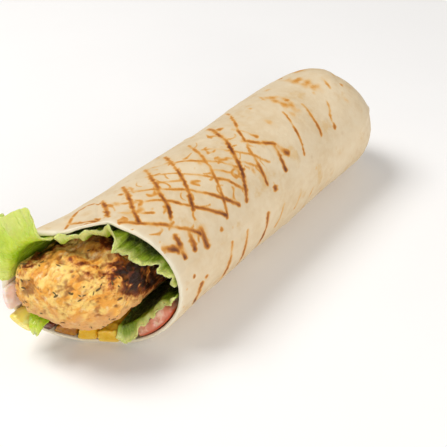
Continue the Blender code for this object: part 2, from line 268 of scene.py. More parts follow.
# %% [markdown]
# ## The bread's surface
#
# One sheet of points runs from the closed tip along the outside, round the soft edge of the rim and
# back along the inside, so the bread is one closed skin with a real thickness. Rows are closer near
# the mouth, and columns are closer on the side where the grill has marked it. A flatbread is never
# quite smooth: it has slow dents, small blisters, a crease behind the lip, and pleats at the end
# where the sheet is gathered and tucked under.

# %% The bread's points
COLUMNS = 288
DOME_ROWS = 36
OUTER_ROWS = 236
RIM_ROWS = 10
INNER_ROWS = 26
INNER_DOME_ROWS = 10


def column_offsets():
    """Angles from the flap's edge, closer together over the grilled part and at the edge itself."""
    fine = np.linspace(0.0, 360.0, 3601)
    density = (1.0 + 1.3 * smooth((fine - 50.0) / 20.0) * smooth((265.0 - fine) / 20.0)
               + 8.0 * bell(fine, 0.6, 1.0))
    total = np.concatenate([[0.0], np.cumsum((density[1:] + density[:-1]) / 2)])
    return np.interp(np.linspace(0.0, total[-1], COLUMNS + 1), total, fine)


def bread_points(offset):
    """Rows from the tip outside, round the rim and back to the tip inside, for each offset."""
    half_turn = math.pi / 2
    angle_end = seam_angle(SHOULDER_X) + offset

    turn = (half_turn * (1.0 - np.linspace(0.0, 1.0, DOME_ROWS, endpoint=False)))[:, None]
    flap = flap_height(offset) * np.maximum(np.cos(turn), 0.0) ** 0.5
    angle_dome = seam_angle(SHOULDER_X + DOME_DEPTH * np.sin(turn)) + offset
    tip = dome(turn, angle_dome, -flap)

    part = (1.0 - np.linspace(0.0, 1.0, OUTER_ROWS))[:, None]
    angle = angle_end + 0.0 * part
    for _ in range(4):
        x = rim_x(angle) + (SHOULDER_X - rim_x(angle)) * part ** 1.15
        angle = seam_angle(x) + offset
    side = section(x, angle, -flap_height(offset) + 0.0 * x)

    rim_angle = angle[-1:]
    rim = rim_x(rim_angle)
    across = np.linspace(0.0, 1.0, RIM_ROWS + 2)[1:-1, None]
    depth = -flap_height(offset) + (WALL + flap_height(offset)) * (0.5 - 0.5 * np.cos(math.pi * across))
    lip = section(rim + 0.0 * across, rim_angle + 0.0 * across, depth)
    lip[..., 0] -= 0.5 * WALL * np.sin(math.pi * across)

    part = (np.linspace(0.0, 1.0, INNER_ROWS) ** 1.6)[:, None]
    angle_in = rim_angle + (angle_end - rim_angle) * part
    inside = section(rim + (SHOULDER_X - rim) * part, angle_in, WALL + 0.0 * part)

    turn = (half_turn * np.linspace(0.0, 1.0, INNER_DOME_ROWS + 1)[1:])[:, None]
    end = dome(turn, angle_end + 0.0 * turn, WALL)
    angles = np.concatenate([angle_dome, angle, rim_angle + 0 * depth, angle_in, angle_end + 0 * turn])
    return np.concatenate([tip, side, lip, inside, end]), angles


offsets = column_offsets()
bread, bread_angle = bread_points(offsets)
bread_x = bread[..., 0].copy()
print("bread grid", bread.shape)

# %% [markdown]
# The solids' origin lies under the middle of the whole wrap. The roll's own coordinates are kept in
# this file, because they are easier to think in, and each finished piece is moved over by `home`.
# That move is found by setting the bread's box against the box of its solid.

# %% Finding the move to the frame
box_low, box_high = (np.array(corner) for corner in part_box("tortilla"))
own_low, own_high = bread.reshape(-1, 3).min(axis=0), bread.reshape(-1, 3).max(axis=0)
home = ((box_low - own_low) + (box_high - own_high)) / 2
home[2] = 0.0
print("moved home by, mm:", np.round(home / MM, 2))

# %% Relief of the bread
PLEATS = 6
PLEAT_STEP = 0.9 * MM


def pleats(x, angle):
    """Overlapping folds round the closed end: a sawtooth of the angle that fades at tip and shoulder."""
    part = np.clip((x - SHOULDER_X + 10 * MM) / (DOME_DEPTH + 10 * MM), 0.0, 1.0)
    twist = 40.0 * part
    saw = ((angle + twist + 13.0 * np.sin(np.radians(2 * angle))) / 360.0 * PLEATS) % 1.0
    tooth = np.where(saw < 0.86, saw / 0.86, (1.0 - saw) / 0.14) - 0.5
    return PLEAT_STEP * tooth * smooth(part / 0.45) * smooth((1.0 - part) / 0.22)


def bread_relief(points, x, angle):
    """Dents, blisters, a crease behind the lip and the end's pleats, in metres along the normal."""
    outside = np.zeros(points.shape[0])
    outside[:DOME_ROWS + OUTER_ROWS] = 1.0
    outside = outside[:, None]
    dents = 0.22 * MM * ripple(points, 26 * MM, 3)
    blisters = 0.10 * MM * np.maximum(ripple(points, 6.5 * MM, 5), 0.0) ** 2
    skin = 0.035 * MM * ripple(points, 2.6 * MM, 8)
    crease_x = (12.5 + 0.55 * (87.4 - angle)) * MM
    crease = -0.55 * MM * bell(x, crease_x, 1.1 * MM) * smooth((angle - 54) / 6) * smooth((92 - angle) / 8)
    behind_lip = np.maximum(x - rim_x(angle), 0)
    wrinkles = 0.18 * MM * np.sin(angle * 0.55 + 40 * x) * np.exp(-behind_lip / (18 * MM))
    folds = pleats(x, angle)
    return outside * (dents + blisters + skin + crease + wrinkles + folds) + (1 - outside) * skin


relief = bread_relief(bread, bread_x, bread_angle)
bread_normal = normals_of(bread[:, :-1], True)
bread_points_done = bread[:, :-1] + bread_normal * relief[:, :-1, None]
bread_points_done[..., 2] = np.maximum(bread_points_done[..., 2], 0.0)
bread_table = np.stack([bread_x / 0.25 + 0.1, (bread_angle + 60.0) / 420.0], axis=-1)
tortilla = build("tortilla_skin", bread_points_done + home, bread_table, around=True)
print("relief of the bread, mm:", np.round([relief.min() / MM, relief.max() / MM], 2))

# %% [markdown]
# ## Where the grill has toasted the bread
#
# The wrap was turned on a ridged grill, so two families of bars cross on its top, a third runs round
# its near side, and more of the kind lie on its far side. Each bar is a straight line on the
# unrolled sheet. A bar on the top has a place along the roll where it crosses 100 degrees, a slant,
# a start and an end angle, a width and a strength. The others have their two end points instead.
# `bar_between` turns such a line into a soft band of toast for every point of the bread at once. The
# result is kept on the mesh as an attribute, and the material turns it into colour.
#
# Between the bars lie single spots, wide pale blotches and short golden squiggles, and a few lines
# beside the rim are scorched. A second attribute, `lip`, marks the narrow band along the rim that
# stayed pale, because it never touched the grill.

# %% Grill bars
ARC = 0.5145  # mm round the roll for one degree
BAR_WIDTH = 1.12
HALO_WIDTH = 2.6
HALO_STRENGTH = 0.27
BLOTCH_SPREAD = 1.2
FIRST_BARS = [
    (13.3, -0.77, 65, 91, 1.0, 0.95), (26.5, -0.76, 65, 111, 1.0, 1.0),
    (42.6, -0.70, 62, 126, 0.95, 0.95), (56.3, -0.66, 63, 130, 0.95, 0.95),
    (72.6, -0.55, 72, 151, 0.9, 0.8), (89.5, -0.58, 62, 151, 1.05, 1.1),
    (100.4, -0.88, 50, 108, 0.8, 0.7), (97.0, -0.27, 112, 150, 0.85, 0.85),
    (111.3, -0.22, 122, 151, 1.15, 1.1), (128.5, -0.62, 62, 84, 1.0, 0.35),
    (146.4, -0.30, 108, 147, 1.0, 0.75), (165.9, -0.65, 118, 147, 0.9, 0.5),
    (54.6, -0.60, 139, 151, 0.9, 0.5), (171.5, -0.4, 96, 116, 1.0, 0.5), (31.0, -0.6, 70, 84, 1.2, 0.5),
    (131.3, -0.37, 104, 151, 0.8, 0.7)]
SECOND_BARS = [
    (15.0, 0.38, 62, 86, 0.9, 0.75), (15.6, 1.12, 100, 147, 0.85, 0.95),
    (34.9, 0.97, 82, 149, 0.85, 0.9), (45.8, 0.94, 80, 149, 0.85, 0.85),
    (59.8, 0.84, 74, 140, 0.8, 0.7), (71.8, 0.90, 65, 127, 0.8, 0.6), (83.5, 0.90, 88, 135, 0.85, 0.6),
    (92.7, 1.23, 104, 127, 1.0, 0.85), (97.6, 0.77, 127, 140, 1.6, 0.8),
    (24.6, 1.0, 92, 112, 0.8, 0.55), (52.6, 0.95, 84, 104, 0.8, 0.55), (65.0, 0.9, 108, 132, 0.8, 0.55),
    (77.0, 0.9, 110, 134, 0.8, 0.55), (103.5, 0.25, 92, 112, 1.0, 0.6)]
SIDE_BARS = [
    ((35.6, 183), (33.6, 206), 0.7, 1.0), ((56.8, 168), (51.2, 211), 0.65, 0.7),
    ((70.0, 171), (64.0, 210), 0.6, 0.75), ((86.0, 170), (81.6, 208), 0.65, 0.95),
    ((99.9, 174), (93.7, 199), 0.6, 0.4), ((114.2, 180), (109.2, 196), 0.6, 0.4),
    ((30.6, 134), (28.5, 155), 0.8, 1.0), ((37.2, 135), (35.3, 155), 0.8, 0.8),
    ((44.0, 140), (42.4, 160), 0.85, 0.9), ((21.5, 135), (28.4, 148), 0.8, 0.8),
    ((45.0, 212), (42.0, 240), 0.6, 0.6), ((60.0, 214), (55.0, 246), 0.6, 0.6),
    ((76.0, 212), (71.0, 240), 0.6, 0.5), ((126.0, 186), (121.0, 214), 0.6, 0.45),
    ((141.0, 190), (137.0, 222), 0.6, 0.4)]
FAR_BARS = [
    ((24.0, -14), (36.0, 40), 0.9, 0.8), ((42.0, -20), (55.0, 44), 0.9, 0.9),
    ((60.0, -22), (73.0, 50), 0.9, 0.85), ((79.0, -20), (91.0, 46), 0.9, 0.8),
    ((97.0, -22), (110.0, 40), 0.9, 0.6), ((118.0, -18), (129.0, 38), 0.9, 0.5),
    ((38.0, -16), (26.0, 34), 0.8, 0.6), ((57.0, -18), (44.0, 38), 0.8, 0.7),
    ((75.0, -22), (62.0, 36), 0.8, 0.6), ((94.0, -20), (82.0, 34), 0.8, 0.55),
    ((112.0, -16), (101.0, 30), 0.8, 0.45)]
SPOTS = [
    (30.8, 172, 1.0, 0.9), (38.4, 181, 1.2, 0.8), (52.9, 154, 1.2, 0.7), (94.3, 156, 1.7, 1.0),
    (165.8, 59, 1.4, 1.0), (151.5, 146, 1.5, 0.8), (90.0, 62, 2.0, 0.3), (99.0, 79, 1.9, 0.6),
    (33.5, 75, 1.3, 0.6), (123.0, 80, 1.6, 0.35), (178.0, 118, 1.6, 0.5), (140.5, 98, 1.5, 0.6),
    (26.0, 178, 0.9, 0.3), (24.5, 196, 0.9, 0.35), (60.0, 160, 1.0, 0.3), (186.0, 86, 2.2, 0.35),
    (158.0, 108, 1.4, 0.35), (128.0, 168, 1.4, 0.3), (135.0, 200, 1.6, 0.3), (112.0, 8, 1.8, 0.6)]
BLOTCHES = [
    (137.8, 96, 3.6, 9.5, 0.52), (162.5, 88, 4.6, 11.0, 0.46), (133.0, 112, 2.4, 4.5, 0.34),
    (176.0, 66, 4.0, 7.0, 0.5), (147.0, 70, 3.0, 5.0, 0.30), (118.0, 108, 2.4, 4.2, 0.30),
    (182.0, 100, 3.0, 5.0, 0.24), (171.0, 132, 2.4, 3.2, 0.30), (69.0, 96, 1.8, 3.0, 0.34),
    (80.5, 121, 2.2, 3.6, 0.40), (88.0, 131, 1.8, 3.0, 0.42), (26.5, 82, 1.8, 3.0, 0.38)]


def bar_between(x, angle, start, end, width):
    """A line between two points of the unrolled sheet: exp(-(distance / width)^2), fading at its ends."""
    along, around = x - start[0], (angle - start[1]) * ARC
    run, rise = end[0] - start[0], (end[1] - start[1]) * ARC
    length = math.hypot(run, rise)
    part = (along * run + around * rise) / length ** 2
    distance = (along * rise - around * run) / length
    ends = smooth((part * length + 0.8) / 1.8) * smooth(((1 - part) * length + 0.8) / 1.8)
    return bell(distance, 0.0, width) * ends, part


def toast(x, angle):
    """How browned each point is, 0 to 1.6: the strongest of all bars, spots and blotches there.

    x is in mm and angle in degrees. The sheet is bent a little first, so that no bar is ruler
    straight, and each bar is stronger towards one end and broken up along its way.
    """
    place = np.stack([x, angle * ARC, 0.0 * x], axis=-1)
    x = x + 0.42 * ripple(place, 13.0, 21)
    angle = angle + 0.8 * ripple(place, 11.0, 22)
    patchy = 0.86 + 0.30 * ripple(place, 6.0, 23)
    ragged = 1.0 + 0.28 * ripple(place, 2.2, 24)
    total = 0.0 * x
    lines = [((place_x + slope * ARC * (low - 100), low),
              (place_x + slope * ARC * (high - 100), high), width, strength)
             for place_x, slope, low, high, width, strength in FIRST_BARS + SECOND_BARS]
    side = [(start, end, 1.7 * width, 1.15 * strength) for start, end, width, strength in SIDE_BARS]
    for start, end, width, strength in lines + side + FAR_BARS:
        line, part = bar_between(x, angle, start, end, BAR_WIDTH * width * ragged)
        halo = bar_between(x, angle, start, end, HALO_WIDTH * width)[0]
        total = np.maximum(total, line * strength * (0.62 + 0.45 * smooth(part)) * patchy)
        total = np.maximum(total, HALO_STRENGTH * halo * strength)
    for spot_x, spot_angle, size, strength in SPOTS:
        distance = np.hypot(x - spot_x, (angle - spot_angle) * ARC)
        total = np.maximum(total, strength * bell(distance, 0.0, size * ragged))
    for spot_x, spot_angle, long, wide, strength in BLOTCHES:
        distance = np.hypot((x - spot_x) / long, (angle - spot_angle) * ARC / wide) / BLOTCH_SPREAD
        total = np.maximum(total, strength * bell(distance, 0.0, 1.0) * (0.82 + 0.3 * ripple(place, 5.0, 25)))
    return total


ARC_LINE = [(4.5, 66.5), (8.0, 64.5), (12.0, 61.5), (17.0, 58.5), (22.0, 58.0), (24.5, 63.0), (25.0, 70.0)]
LIP_LINE = [(2.5, 71), (3.4, 74), (4.8, 76), (6.5, 77.4), (7.9, 80), (9.4, 83.7), (11.0, 87.7)]


def along_points(x, angle, points, width):
    """The strongest of the lines that join a list of points, as bells of the distance to them."""
    total = 0.0 * x
    for start, end in zip(points[:-1], points[1:]):
        total = np.maximum(total, bar_between(x, angle, start, end, width)[0])
    return total


def scribble(x, angle):
    """Short golden squiggles between the bars: thin bands where a ripple crosses zero, broken up."""
    place = np.stack([x, angle * ARC, 0.0 * x], axis=-1)
    lines = bell(ripple(place, 9.0, 27), 0.0, 0.22) * smooth((ripple(place, 7.0, 28) + 0.15) / 0.35)
    region = (smooth((x - 6) / 14) * smooth((118 - x) / 30)
              * smooth((angle - 66) / 14) * smooth((150 - angle) / 12))
    return 0.46 * lines * region


def rim_char(x, angle):
    """Scorched lines beside the lip's upper left, and an orange blob at the foot of the crease."""
    arc = 0.62 * along_points(x, angle, ARC_LINE, 0.7)
    lip = 0.60 * along_points(x, angle, LIP_LINE, 0.9)
    blob = 0.75 * bell(np.hypot(x - 13.9, (angle - 84.2) * ARC), 0.0, 1.3)
    return np.maximum(np.maximum(arc, lip), blob)


outer_rows = DOME_ROWS + OUTER_ROWS
outer_x, outer_angle = bread_x[:outer_rows] / MM, bread_angle[:outer_rows]
brown = np.zeros(bread_x.shape)
brown[:outer_rows] = toast(outer_x, outer_angle)
for marks in (rim_char, scribble):
    brown[:outer_rows] = np.maximum(brown[:outer_rows], marks(outer_x, outer_angle))
set_attribute(tortilla, "toast", brown[:, :-1].ravel())
lip_band = np.exp(-np.maximum(bread_x - rim_x(bread_angle), 0.0) / (1.1 * MM))
set_attribute(tortilla, "lip", lip_band[:, :-1].ravel())
print("share of the outside that is browned:", round(float((brown[:outer_rows] > 0.3).mean()), 3))

# %% [markdown]
# ## Materials: small tools
#
# A material is a little network of nodes. `add` places one node and joins it up in the same line,
# and `mix` lays one colour over another. Two effects are needed by several foods, so each is made
# once as a node group with named sockets: `mottle` gives soft irregular patches, and `fleck` gives
# small separate specks.

# %% Node helpers
def add(tree, kind, inputs=None, **settings):
    """Adds a node; inputs maps its sockets to plain values or to other nodes' outputs."""
    node = tree.nodes.new(kind)
    for key, value in settings.items():
        setattr(node, key, value)
    for key, value in (inputs or {}).items():
        if isinstance(value, bpy.types.NodeSocket):
            tree.links.new(value, node.inputs[key])
        else:
            node.inputs[key].default_value = value
    return node


def colour(red, green, blue):
    """The 0 to 255 colour values of a picture, turned into the linear values that nodes use."""
    values = np.array([red, green, blue]) / 255.0
    linear = np.where(values <= 0.04045, values / 12.92, ((values + 0.055) / 1.055) ** 2.4)
    return (*linear.tolist(), 1.0)


def maths(tree, operation, *values):
    """One Math node."""
    return add(tree, "ShaderNodeMath", dict(enumerate(values)), operation=operation).outputs[0]


def mix(tree, mask, under, over, share=1.0):
    """Lays a share of one colour over another where the mask is 1; colours are 0 to 255 or outputs."""
    if share < 1.0:
        mask = maths(tree, "MULTIPLY", mask, share)
    under, over = (colour(*side) if isinstance(side, tuple) else side for side in (under, over))
    return add(tree, "ShaderNodeMix", {0: mask, 6: under, 7: over}, data_type="RGBA").outputs[2]


def step(tree, value, low, high):
    """A smooth step of a value, from 0 at low to 1 at high."""
    return add(tree, "ShaderNodeMapRange", {0: value, 1: low, 2: high},
               interpolation_type="SMOOTHSTEP").outputs[0]


def noise(tree, vector, scale, detail, roughness=0.5):
    """A noise texture's value, near 0.5 on average."""
    return add(tree, "ShaderNodeTexNoise", {"Vector": vector, "Scale": scale, "Detail": detail,
                                            "Roughness": roughness}).outputs[0]


def ramp(tree, value, stops):
    """A colour ramp with stops (place, colour of 0 to 255)."""
    node = add(tree, "ShaderNodeValToRGB", {0: value})
    ends = node.color_ramp.elements
    while len(ends) < len(stops):
        ends.new(1.0)
    for end, (place, shade) in zip(ends, stops):
        end.position = place
        end.color = colour(*shade)
    return node.outputs[0]


def new_group(name, inputs):
    """An empty node group with float inputs (vectors where the default is None) and one mask out."""
    tree = bpy.data.node_groups.new(name, "ShaderNodeTree")
    for label, value in inputs.items():
        kind = "NodeSocketVector" if value is None else "NodeSocketFloat"
        socket = tree.interface.new_socket(label, in_out="INPUT", socket_type=kind)
        if value is not None:
            socket.default_value = value
    tree.interface.new_socket("Mask", in_out="OUTPUT", socket_type="NodeSocketFloat")
    return tree, tree.nodes.new("NodeGroupInput").outputs, tree.nodes.new("NodeGroupOutput").inputs


mottle_tree, g, out = new_group("mottle", {"Vector": None, "Scale": 100.0, "Low": 0.4, "High": 0.6})
cloud = noise(mottle_tree, g["Vector"], g["Scale"], 4.0, 0.6)
mottle_tree.links.new(step(mottle_tree, cloud, g["Low"], g["High"]), out["Mask"])

fleck_tree, g, out = new_group("fleck", {"Vector": None, "Scale": 200.0, "Size": 0.25, "Share": 0.3})
cells = add(fleck_tree, "ShaderNodeTexVoronoi", {"Vector": g["Vector"], "Scale": g["Scale"]}, feature="F1")
chosen = add(fleck_tree, "ShaderNodeSeparateColor", {0: cells.outputs["Color"]}).outputs[0]
near = step(fleck_tree, cells.outputs["Distance"], g["Size"], 0.0)
rare = maths(fleck_tree, "LESS_THAN", chosen, g["Share"])
fleck_tree.links.new(maths(fleck_tree, "MULTIPLY", near, rare), out["Mask"])


def effect(tree, group, vector, **values):
    """Places a node group in a material and returns its mask."""
    return add(tree, "ShaderNodeGroup", {"Vector": vector, **values}, node_tree=group).outputs["Mask"]


def start_material(name, roughness, coat=0.0, glow=(0.0, (1.0, 0.2, 0.1), 0.05)):
    """A new material with its Principled shader and a socket of Object coordinates.

    The glow is light that wanders under the surface: its weight, its radii and their scale.
    """
    material = bpy.data.materials.new(name)
    material.use_nodes = True
    tree = material.node_tree
    shader = tree.nodes["Principled BSDF"]
    shader.inputs["Roughness"].default_value = roughness
    shader.inputs["Coat Weight"].default_value = coat
    for part, value in zip(("Weight", "Radius", "Scale"), glow):
        shader.inputs["Subsurface " + part].default_value = value
    return material, tree, shader, add(tree, "ShaderNodeTexCoord").outputs["Object"]


def attribute(tree, name):
    """Reads one of the numbers that were stored on the mesh."""
    return add(tree, "ShaderNodeAttribute", attribute_name=name).outputs["Fac"]


def bump(tree, shader, height, strength, distance):
    """Adds fine relief to the shading, from a height."""
    node = add(tree, "ShaderNodeBump", {"Strength": strength, "Distance": distance, "Height": height})
    tree.links.new(node.outputs[0], shader.inputs["Normal"])


print("node groups:", [group.name for group in bpy.data.node_groups])

# %% [markdown]
# ## Grilled bread
#
# The dough is a pale cream with faint warm clouds and tiny darker freckles. Where it was toasted
# the colour runs through gold and orange-brown to dark brown. A fine noise is added to the toast
# before it is turned into colour, which breaks the edges of the bars up as on real bread.

# %% The bread's material
bread_skin, tree, shader, place = start_material("grilled bread", 0.62)
clouds = effect(tree, mottle_tree, place, Scale=38.0, Low=0.36, High=0.66)
fine = effect(tree, mottle_tree, place, Scale=260.0, Low=0.35, High=0.7)
grain = noise(tree, place, 900.0, 3.0)
dough = mix(tree, clouds, (226, 205, 170), (217, 192, 152))
dough = mix(tree, fine, dough, (230, 214, 184), 0.45)
freckles = effect(tree, fleck_tree, place, Scale=210.0, Size=0.34, Share=0.10)
dough = mix(tree, freckles, dough, (196, 160, 112), 0.35)
smears = effect(tree, mottle_tree, place, Scale=95.0, Low=0.56, High=0.72)
dough = mix(tree, smears, dough, (212, 170, 100), 0.55)
dough = mix(tree, attribute(tree, "lip"), dough, (240, 232, 208), 0.8)
toasted = attribute(tree, "toast")
broken = noise(tree, place, 520.0, 4.0, 0.65)
amount = maths(tree, "MULTIPLY_ADD", maths(tree, "SUBTRACT", broken, 0.5), 0.9, 1.0)
amount = maths(tree, "MULTIPLY", toasted, amount)
shade = ramp(tree, amount, [
    (0.0, (226, 190, 128)), (0.24, (224, 172, 90)), (0.46, (207, 138, 50)),
    (0.70, (168, 97, 26)), (1.0, (114, 58, 14))])
face = mix(tree, step(tree, amount, 0.10, 0.42), dough, shade)
tree.links.new(face, shader.inputs["Base Color"])
bump(tree, shader, maths(tree, "ADD", grain, maths(tree, "MULTIPLY", amount, -1.5)), 0.25, 0.0003)
tidy_mesh(tortilla)
finish_piece(tortilla, bread_skin, "tortilla")

# %% [markdown]
# ## The chicken fillet
#
# A thick grilled fillet, flattened, with blunt ends. Its surface is worked out like the bread's, as
# rings along its length, but each ring is a rounded box instead of an oval. The relief is what
# makes it meat: broad lumps, smaller crags between them, and fibres that run along the fillet.

# %% The fillet's points
FILLET_FRONT = -15.5 * MM
FILLET_BACK = 166.0 * MM
FILLET_CENTRE_Y = 4.2 * MM
FILLET_CENTRE_Z = 32.0 * MM
FILLET_HALF_WIDTH = 21.8 * MM
FILLET_HALF_HEIGHT = 12.2 * MM
FILLET_LUMP = 0.9 * MM
FILLET_END = 10.0 * MM
FILLET_COLUMNS = 300
FRONT_ROWS, BODY_ROWS, BACK_ROWS = 40, 129, 20


def fillet_points():
    """Rings from the back end to the front one: superellipses with slow lumps, rounded at the ends."""
    quarter = np.linspace(0.0, math.pi / 2, FRONT_ROWS)
    front_turn = np.concatenate([np.full(BACK_ROWS + BODY_ROWS, math.pi / 2), quarter[::-1]])[:, None]
    back_turn = np.concatenate([quarter[:-1:2], np.full(BODY_ROWS + FRONT_ROWS, math.pi / 2)])[:, None]
    body = np.concatenate([np.full(BACK_ROWS, 1.0), np.linspace(1.0, 0.0, BODY_ROWS + 1)[:-1],
                           np.full(FRONT_ROWS, 0.0)])[:, None]
    a = np.linspace(0.0, 2 * math.pi, FILLET_COLUMNS, endpoint=False)[None, :]
    start, end = FILLET_FRONT + FILLET_END, FILLET_BACK - FILLET_END
    x = (start + (end - start) * body ** 1.25 - FILLET_END * np.cos(front_turn)
         + FILLET_END * np.cos(back_turn) + 0 * a)
    size = (np.sin(front_turn) * np.sin(back_turn)) ** 0.55
    lump = FILLET_LUMP * (np.sin(3 * a + 210 * x + 0.5) * np.cos(2 * a - 160 * x)
                          + 0.6 * np.sin(5 * a + 330 * x + 1.3)) * size
    narrow = 1.0 - 0.09 * smooth((x - FILLET_FRONT) / (70.0 * MM))
    y = (FILLET_HALF_WIDTH * narrow - 0.4 * FILLET_LUMP + 0.4 * lump) * size * powered(np.cos(a), 0.66)
    droop = np.where(np.sin(a) < 0.0, 0.12 * smooth((6.0 * MM - y) / (20.0 * MM)), 0.0)
    z = (FILLET_HALF_HEIGHT - FILLET_LUMP + lump) * size * powered(np.sin(a), 0.60) * (1.0 + droop)
    cut_back = 7.0 * MM * smooth((-y - 4.0 * MM) / (17.0 * MM)) - 0.08 * y
    x = x + cut_back * (1.0 - smooth((x - FILLET_FRONT) / (45.0 * MM)))
    centre_y = FILLET_CENTRE_Y * (1.0 - smooth(x / FILLET_BACK))
    return np.stack([x, centre_y + y, FILLET_CENTRE_Z + z], axis=-1)


def fillet_relief(points, size):
    """Lumps, crags and fibres: ripples of 11, 5, 2.4 and 1.2 mm; fibres are stretched along x."""
    stretched = points * np.array([0.4, 1.0, 1.0])
    crags = 1.0 - np.abs(ripple(points, 9 * MM, 33)) * 1.6
    lumps = (0.42 * ripple(points, 11 * MM, 31) + 0.30 * ripple(points, 5 * MM, 32)
             - 0.45 * np.maximum(crags, 0.0) ** 3)
    fine = (0.15 * ripple(points, 2.4 * MM, 34) + 0.16 * ripple(stretched, 1.5 * MM, 35)
            + 0.07 * ripple(points, 1.1 * MM, 36))
    return (lumps * smooth(size * 1.5) + fine) * MM


fillet = fillet_points()
fillet_normal = normals_of(fillet, True)
fillet_normal[[0, -1]] = [[[1.0, 0.0, 0.0]], [[-1.0, 0.0, 0.0]]]
ring_middle = fillet[..., 1:].mean(axis=1, keepdims=True)
fillet_size = np.linalg.norm(fillet[..., 1:] - ring_middle, axis=-1) / (12 * MM)
fillet_height = fillet_relief(fillet, fillet_size)
fillet_height[[0, -1]] = fillet_height[[0, -1]].mean(axis=1, keepdims=True)
fillet_done = fillet + fillet_normal * fillet_height[..., None]
rows, columns = fillet.shape[:2]
fillet_table = round_table(rows, columns, 0.98, 0.02)
chicken = build("chicken_fillet", fillet_done + home, fillet_table, around=True, poles=(True, True))
print("fillet relief, mm:", np.round([fillet_height.min() / MM, fillet_height.max() / MM], 2))

# %% [markdown]
# ## Where the fillet is seared
#
# The fillet lay on a hot plate, so its high parts are browned and its sides stay pale. The searing
# is a mask made of a few soft patches, broken up by the same lumps that shape the meat: what stands
# proud is darker. Two of its patches, on the right side and deeper in the roll, are painted shade
# from the roof. Two more masks mark the pale flank and the hollows of the relief, which get painted
# shade.

# %% Searing masks
def patch(points, x, y, long, wide):
    """A soft oval patch seen from above, with its middle at x, y in mm."""
    return np.exp(-((points[..., 0] / MM - x) / long) ** 2 - ((points[..., 1] / MM - y) / wide) ** 2)


def sear_and_painted_shade_mask(points, relief):
    """Browning and painted shade, 0 to about 1.3: top patches, a right-side one, more where proud."""
    top = smooth((points[..., 2] / MM - 31.0 + 0.4 * np.clip(points[..., 0] / MM, 0.0, 20.0)) / 6.0)
    patches = (0.95 * patch(points, 9.0, -14.5, 6.5, 6.5) + 1.1 * patch(points, 2.0, 18.5, 12.0, 3.8)
               + 0.35 * patch(points, 15.0, 2.0, 6.0, 9.0) + 0.34 * patch(points, -1.0, -3.0, 7.0, 12.0)
               # The patch at x = 28 mm, y = -16 mm is painted shade from the roof over the fillet.
               + 1.1 * patch(points, 28.0, -16.0, 13.0, 12.0) + 0.8 * patch(points, 50.0, 0.0, 26.0, 18.0))
    broken = 0.80 + 0.4 * ripple(points, 4.2 * MM, 41) + 0.20 * ripple(points, 1.8 * MM, 42)
    # Painted shade on the right side of the fillet, where the roof shades it.
    right_side_painted_shade = 0.75 * patch(points, 22.0, -21.0, 13.0, 7.0)
    proud = 0.25 * top * np.clip(relief / MM, -0.2, 0.8)
    return (top * patches + right_side_painted_shade) * np.clip(broken, 0.0, 1.6) + proud


sear_and_painted_shade = sear_and_painted_shade_mask(fillet_done, fillet_height)
set_attribute(chicken, "sear_and_painted_shade", sear_and_painted_shade.ravel())
set_attribute(chicken, "proud", (fillet_height / MM * 0.5 + 0.5).ravel())
low_down = smooth((31.5 - fillet_done[..., 2] / MM + 2.0 * ripple(fillet_done, 5 * MM, 43)) / 7.0)
set_attribute(chicken, "flank", low_down.ravel())

# %% The fillet's material
fillet_skin, tree, shader, place = start_material(
    "grilled chicken", 0.52, 0.04, (0.08, (1.0, 0.45, 0.2), 0.003))
shader.inputs["Specular IOR Level"].default_value = 0.3
long_grain = add(tree, "ShaderNodeMapping", {"Vector": place, "Scale": (0.45, 1.0, 1.0)}).outputs[0]
golden = effect(tree, mottle_tree, long_grain, Scale=170.0, Low=0.42, High=0.58)
pale = effect(tree, mottle_tree, long_grain, Scale=330.0, Low=0.52, High=0.72)
meat = mix(tree, golden, (254, 214, 120), (240, 168, 66))
meat = mix(tree, pale, meat, (254, 232, 176), 0.7)
streaked = effect(tree, mottle_tree, long_grain, Scale=520.0, Low=0.50, High=0.68)
meat = mix(tree, streaked, meat, (202, 116, 40), 0.55)
meat = mix(tree, attribute(tree, "flank"), meat, (216, 162, 106), 0.75)
# Browning, with painted shade from the roof on the right side and deeper in the roll.
browning_and_painted_shade = attribute(tree, "sear_and_painted_shade")
speckled = noise(tree, place, 620.0, 4.0, 0.7)
depth = maths(tree, "MULTIPLY_ADD", maths(tree, "SUBTRACT", speckled, 0.5), 0.9, browning_and_painted_shade)
crust_and_painted_shade = ramp(tree, depth, [
    (0.0, (218, 126, 38)), (0.35, (176, 84, 22)),
    (0.6, (104, 44, 10)), (0.95, (44, 18, 4))])
meat = mix(tree, step(tree, depth, 0.08, 0.55), meat, crust_and_painted_shade)
# Darker in the hollows of the relief: painted shade.
hollow_painted_shade = step(tree, attribute(tree, "proud"), 0.42, 0.08)
meat = mix(tree, hollow_painted_shade, meat, (150, 84, 28), 0.75)
crumbs = effect(tree, fleck_tree, place, Scale=330.0, Size=0.42, Share=0.10)
meat = mix(tree, crumbs, meat, (74, 44, 20), 0.8)
tree.links.new(meat, shader.inputs["Base Color"])
fibre = noise(tree, long_grain, 1400.0, 3.0)
bump(tree, shader, maths(tree, "ADD", fibre, maths(tree, "MULTIPLY", streaked, -0.6)), 0.45, 0.0006)
tidy_mesh(chicken)
finish_piece(chicken, fillet_skin, "chicken")

# %% [markdown]
# ## Herb flecks on the fillet
#
# Dried herbs and pepper cling to the meat. Each fleck is a tiny curled flake of twelve faces. It is
# stretched and turned at random, and laid on the fillet's surface at a random place of the grid.
# All of them are joined into one mesh, which is far lighter than hundreds of objects.

